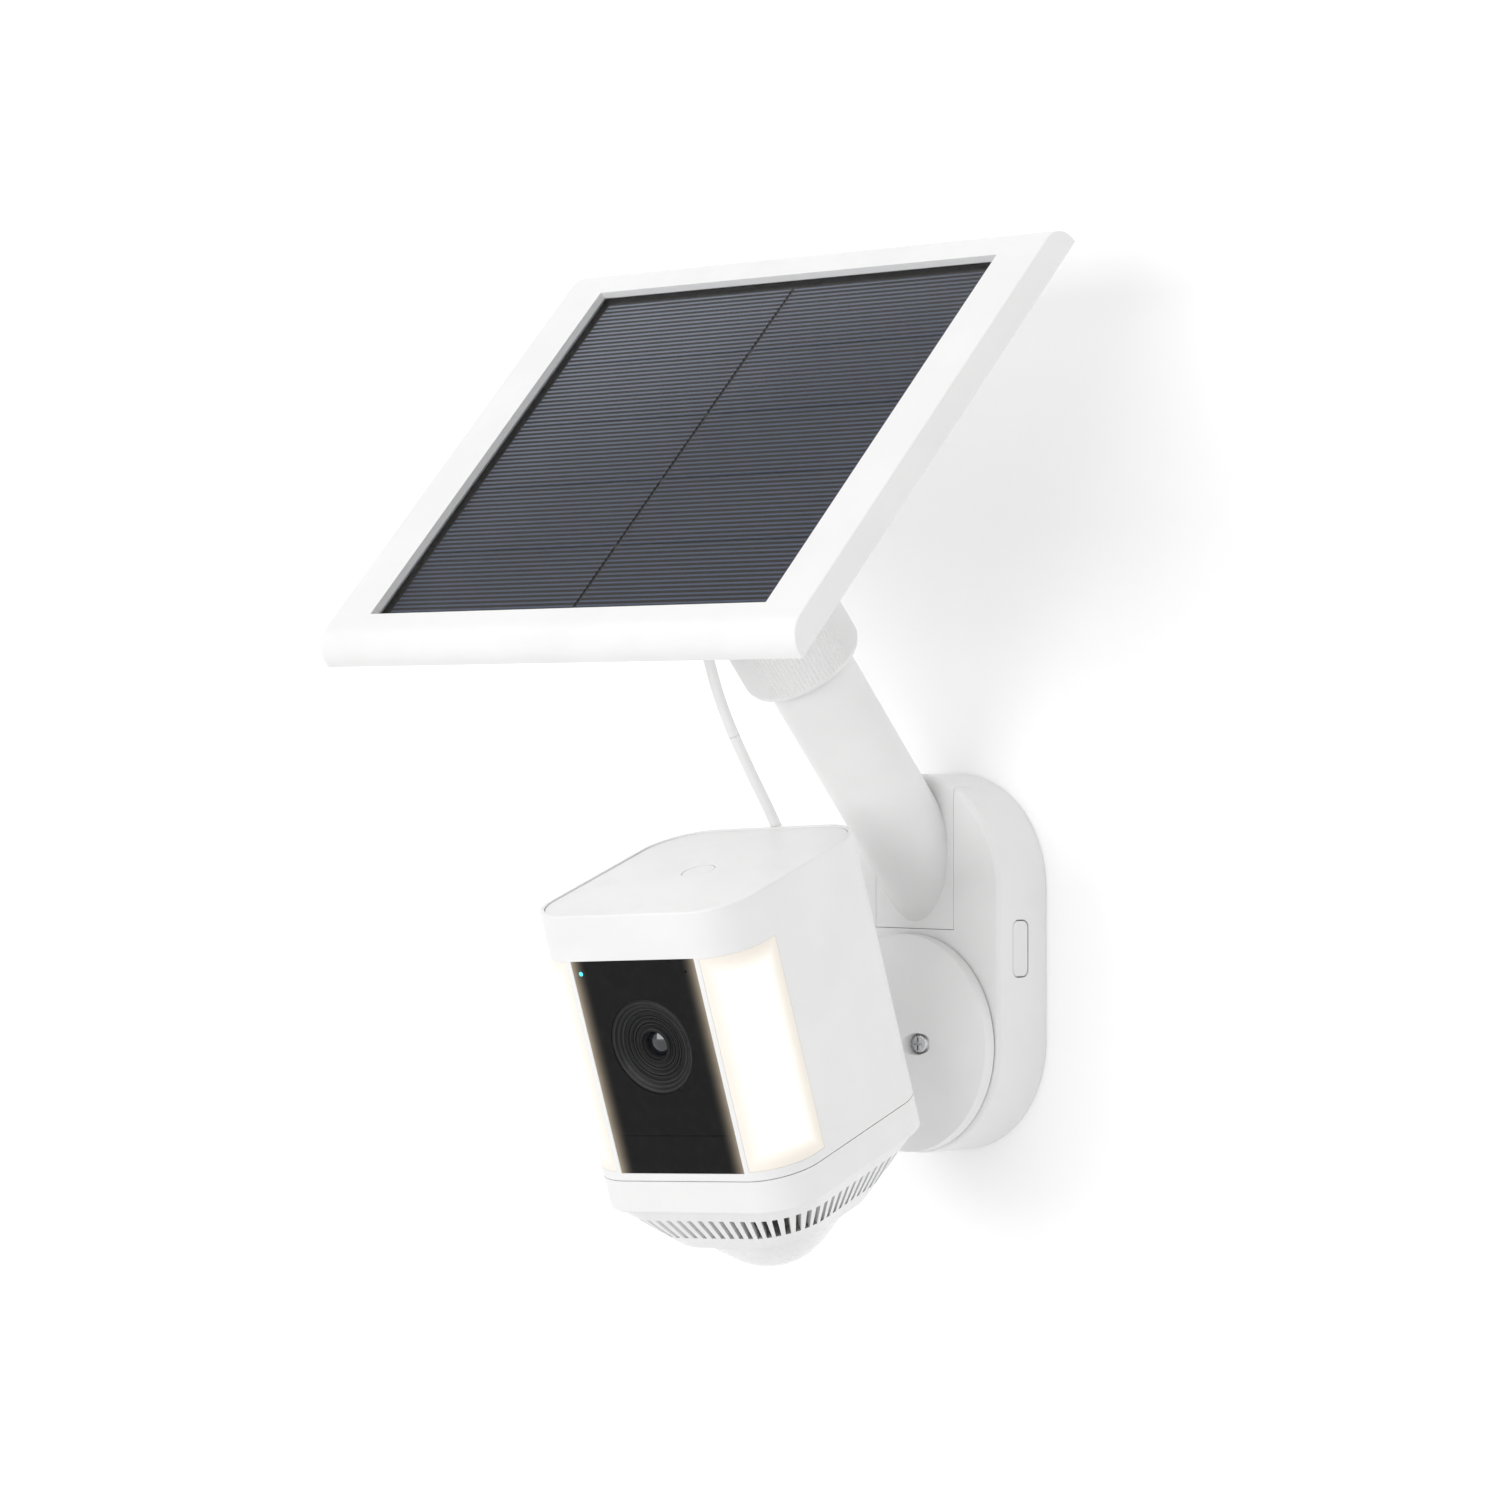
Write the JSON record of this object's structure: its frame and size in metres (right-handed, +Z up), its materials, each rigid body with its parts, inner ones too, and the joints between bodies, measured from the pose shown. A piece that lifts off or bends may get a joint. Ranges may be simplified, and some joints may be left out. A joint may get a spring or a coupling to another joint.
{
  "type": "floodlight security camera",
  "caption": "Wall-mounted security camera with corner floodlights, a ball-jointed head on a turning base, and a tilting solar panel on a slanted arm joined by a short lead.",
  "frame": {"origin": "centre of the wall mount's back face, on the wall", "axes": "+Y into the wall, +Z up, +X to the right for someone who faces the wall; the camera and panel stand out on -Y"},
  "size_m": [0.182, 0.1599, 0.2752],
  "materials": {
    "white_plastic": "satin moulded",
    "tab_plastic": "satin moulded",
    "grey_plastic": "satin moulded",
    "zinc_steel": "zinc plated",
    "screw_steel": "nickel plated",
    "spring_steel": "drawn wire",
    "circuit_board": "solder mask",
    "black_window": "smooth",
    "black_sensor": "smooth",
    "lens_plastic": "fine matte",
    "lens_glass": "coated",
    "status_light": "clear tinted",
    "diffuser": "frosted",
    "sensor_plastic": "milky",
    "battery_wrap": "shrink film",
    "soft_seal": "moulded",
    "dome_plastic": "satin",
    "panel_glass": "low-iron, smooth",
    "silicon": "striped wafer",
    "backsheet": "matte film",
    "lead_sheath": "smooth jacket",
    "lead_plug": "moulded"
  },
  "bodies": {
    "wall_mount": {"wall_bracket": "zinc_steel", "mount_housing": "white_plastic", "tab_stops": "white_plastic", "tab_spring_right": "spring_steel", "tab_spring_left": "spring_steel", "solar_arm": "white_plastic", "arm_screws": "screw_steel", "solar_lead": "lead_sheath"},
    "release_tab_right": {"release_tab_right": "tab_plastic"},
    "release_tab_left": {"release_tab_left": "tab_plastic"},
    "swivel_base": {"swivel_base": "white_plastic", "security_screw": "screw_steel", "base_retainer": "grey_plastic", "base_screws": "screw_steel"},
    "head_ball_liner": {"head_ball_liner": "grey_plastic"},
    "camera_head": {"head_shell": "white_plastic", "top_plate": "white_plastic", "button_spring": "spring_steel", "button_board": "circuit_board", "front_window": "black_window", "sensor_window": "black_sensor", "lens_ring": "lens_plastic", "lens_disc": "lens_plastic", "lens_barrel": "lens_plastic", "lens_glass": "lens_glass", "image_sensor": "circuit_board", "light_pipe": "status_light", "microphone": "grey_plastic", "light_cover_right": "diffuser", "light_cover_left": "diffuser", "light_board_right": "circuit_board", "light_board_left": "circuit_board", "motion_sensor": "sensor_plastic", "main_board": "circuit_board", "battery_bay": "grey_plastic", "battery_packs": "battery_wrap", "speaker": "grey_plastic", "rear_port": "grey_plastic", "ball_stud": "white_plastic", "cover_seal": "soft_seal", "lead_plug": "lead_plug"},
    "setup_button": {"setup_button": "white_plastic"},
    "bottom_cover": {"bottom_cover": "white_plastic", "bottom_dome": "dome_plastic"},
    "collar_nut": {"collar_nut": "white_plastic"},
    "panel_ball_liner": {"panel_ball_liner": "grey_plastic"},
    "solar_panel": {"panel_frame": "white_plastic", "panel_glass": "panel_glass", "solar_cells": "silicon", "cell_backsheet": "backsheet", "panel_back": "white_plastic", "panel_screws": "screw_steel", "panel_ball": "white_plastic", "stud_screws": "screw_steel", "junction_board": "circuit_board", "lead_grommet": "lead_plug"}
  },
  "joints": [
    {"name": "base_turn", "type": "hinge", "parent": "wall_mount", "child": "swivel_base", "pos_m": [0, -0.0192, -0.02216], "axis": [0, 1, 0], "range_deg": [-30, 30], "deforming": ["solar_lead"]},
    {"name": "head_tilt", "type": "hinge", "parent": "swivel_base", "child": "head_ball_liner", "pos_m": [0, -0.04475, -0.02216], "axis": [1, 0, 0], "range_deg": [-10, 20], "deforming": ["solar_lead"]},
    {"name": "head_pan", "type": "hinge", "parent": "head_ball_liner", "child": "camera_head", "pos_m": [0, -0.04475, -0.02216], "axis": [0, -0.3127, 0.9499], "range_deg": [-35, 20], "deforming": ["solar_lead"]},
    {"name": "button_press", "type": "slide", "parent": "camera_head", "child": "setup_button", "axis": [0, 0.3127, -0.9499], "range_m": [0, 0.0007], "stiffness_N_per_m": 1500, "springref_m": -0.0006, "deforming": ["button_spring"]},
    {"name": "cover_off", "type": "slide", "parent": "camera_head", "child": "bottom_cover", "axis": [0, 0.3127, -0.9499], "range_m": [0, 0.03]},
    {"name": "tab_right_press", "type": "slide", "parent": "wall_mount", "child": "release_tab_right", "axis": [-1, 0, 0], "range_m": [0, 0.0015], "stiffness_N_per_m": 1200, "springref_m": -0.0005, "deforming": ["tab_spring_right"]},
    {"name": "tab_left_press", "type": "slide", "parent": "wall_mount", "child": "release_tab_left", "axis": [1, 0, 0], "range_m": [0, 0.0015], "stiffness_N_per_m": 1200, "springref_m": -0.0005, "deforming": ["tab_spring_left"]},
    {"name": "nut_turn", "type": "hinge", "parent": "wall_mount", "child": "collar_nut", "pos_m": [0, -0.0974, 0.12364], "axis": [0, -0.6463, 0.7631], "range_deg": [0, 180]},
    {"name": "panel_turn", "type": "hinge", "parent": "wall_mount", "child": "panel_ball_liner", "pos_m": [0, -0.0974, 0.12364], "axis": [0, -0.6463, 0.7631], "range_deg": [-30, 30], "deforming": ["solar_lead"]},
    {"name": "panel_tilt", "type": "hinge", "parent": "panel_ball_liner", "child": "solar_panel", "pos_m": [0, -0.0974, 0.12364], "axis": [1, 0, 0], "range_deg": [-20, 12], "deforming": ["solar_lead"]}
  ]
}
